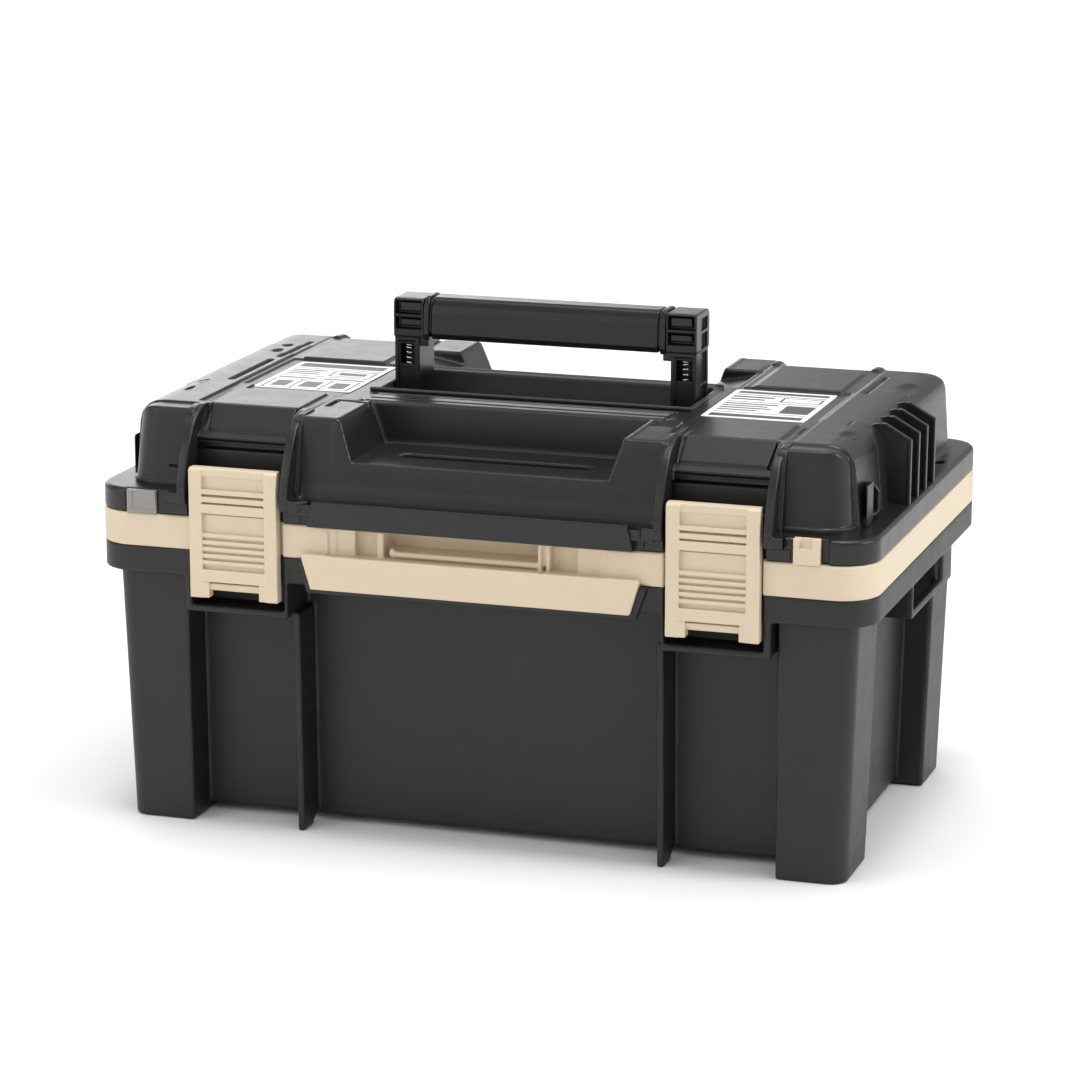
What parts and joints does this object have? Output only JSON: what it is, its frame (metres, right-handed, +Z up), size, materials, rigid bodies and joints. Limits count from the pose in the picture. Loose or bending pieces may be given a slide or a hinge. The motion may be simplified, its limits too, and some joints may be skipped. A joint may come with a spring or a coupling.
{
  "type": "hard tool case",
  "caption": "Hard tool case: deep tub with feet, trim band, domed lid on rear hinges, front latches, pull-up carry handle and sliding tote tray.",
  "frame": {"origin": "middle of the footprint, on the plane the feet stand on", "axes": "+X to the right of the latched front, +Y towards the hinges at the back, +Z up"},
  "size_m": [0.5608, 0.356, 0.36],
  "materials": {
    "black_pp": "moulded polypropylene with a fine spark-eroded grain",
    "black_gloss": "smoother moulded polypropylene, satin",
    "beige_pp": "satin moulded polypropylene",
    "grey_pp": "satin moulded plastic",
    "tray_pp": "moulded polypropylene, charcoal",
    "steel": "bright zinc plated steel",
    "spring_steel": "bright spring wire",
    "label": "smooth printed label stock"
  },
  "bodies": {
    "base": {"base_tub": "black_pp", "foot_front_left": "black_pp", "foot_front_right": "black_pp", "foot_rear_left": "black_pp", "foot_rear_right": "black_pp", "tub_rim": "black_pp", "latch_pocket_left": "black_pp", "latch_pocket_right": "black_pp", "side_loop_left": "black_pp", "side_loop_right": "black_pp", "tray_rail_front": "black_pp", "tray_rail_rear": "black_pp", "trim_band": "beige_pp", "tab_left": "grey_pp", "tab_right": "beige_pp", "hinge_pin_left": "steel", "hinge_pin_right": "steel"},
    "tray": {"tote_tray": "tray_pp"},
    "lid": {"lid_shell": "black_pp", "bulge_front_left": "black_pp", "bulge_front_right": "black_pp", "bulge_rear_left": "black_pp", "bulge_rear_right": "black_pp", "side_fins_left": "black_pp", "side_fins_right": "black_pp", "handle_well": "black_pp", "socket_cap_left": "grey_pp", "socket_cap_right": "grey_pp", "label_left": "label", "label_right": "label", "latch_pin_left": "steel", "latch_pin_right": "steel"},
    "latch_left": {"latch_left": "beige_pp"},
    "latch_right": {"latch_right": "beige_pp"},
    "handle": {"handle_grip": "black_gloss", "handle_core": "steel", "handle_post_left": "black_gloss", "handle_post_right": "black_gloss", "stop_plate_left": "steel", "stop_plate_right": "steel", "pop_spring_left": "spring_steel", "pop_spring_right": "spring_steel"},
    "plunger_left": {"plunger_left": "steel"},
    "plunger_right": {"plunger_right": "steel"}
  },
  "joints": [
    {"name": "lid_hinge", "type": "hinge", "parent": "base", "child": "lid", "pos_m": [0, 0.1715, 0.226], "axis": [-1, 0, 0], "range_deg": [0, 100]},
    {"name": "latch_left_hinge", "type": "hinge", "parent": "lid", "child": "latch_left", "pos_m": [-0.17225, -0.164, 0.254], "axis": [-1, 0, 0], "range_deg": [0, 110]},
    {"name": "latch_right_hinge", "type": "hinge", "parent": "lid", "child": "latch_right", "pos_m": [0.17225, -0.164, 0.254], "axis": [-1, 0, 0], "range_deg": [0, 110]},
    {"name": "handle_slide", "type": "slide", "parent": "lid", "child": "handle", "axis": [0, 0, 1], "range_m": [-0.056, 0]},
    {"name": "plunger_left_slide", "type": "slide", "parent": "handle", "child": "plunger_left", "axis": [0, 0, 1], "range_m": [0, 0.0035], "stiffness_N_per_m": 300, "springref_m": -0.003, "deforming": ["pop_spring_left"]},
    {"name": "plunger_right_slide", "type": "slide", "parent": "handle", "child": "plunger_right", "axis": [0, 0, 1], "range_m": [0, 0.0035], "stiffness_N_per_m": 300, "springref_m": -0.003, "deforming": ["pop_spring_right"]},
    {"name": "tray_slide", "type": "slide", "parent": "base", "child": "tray", "axis": [1, 0, 0], "range_m": [0, 0.21]}
  ]
}
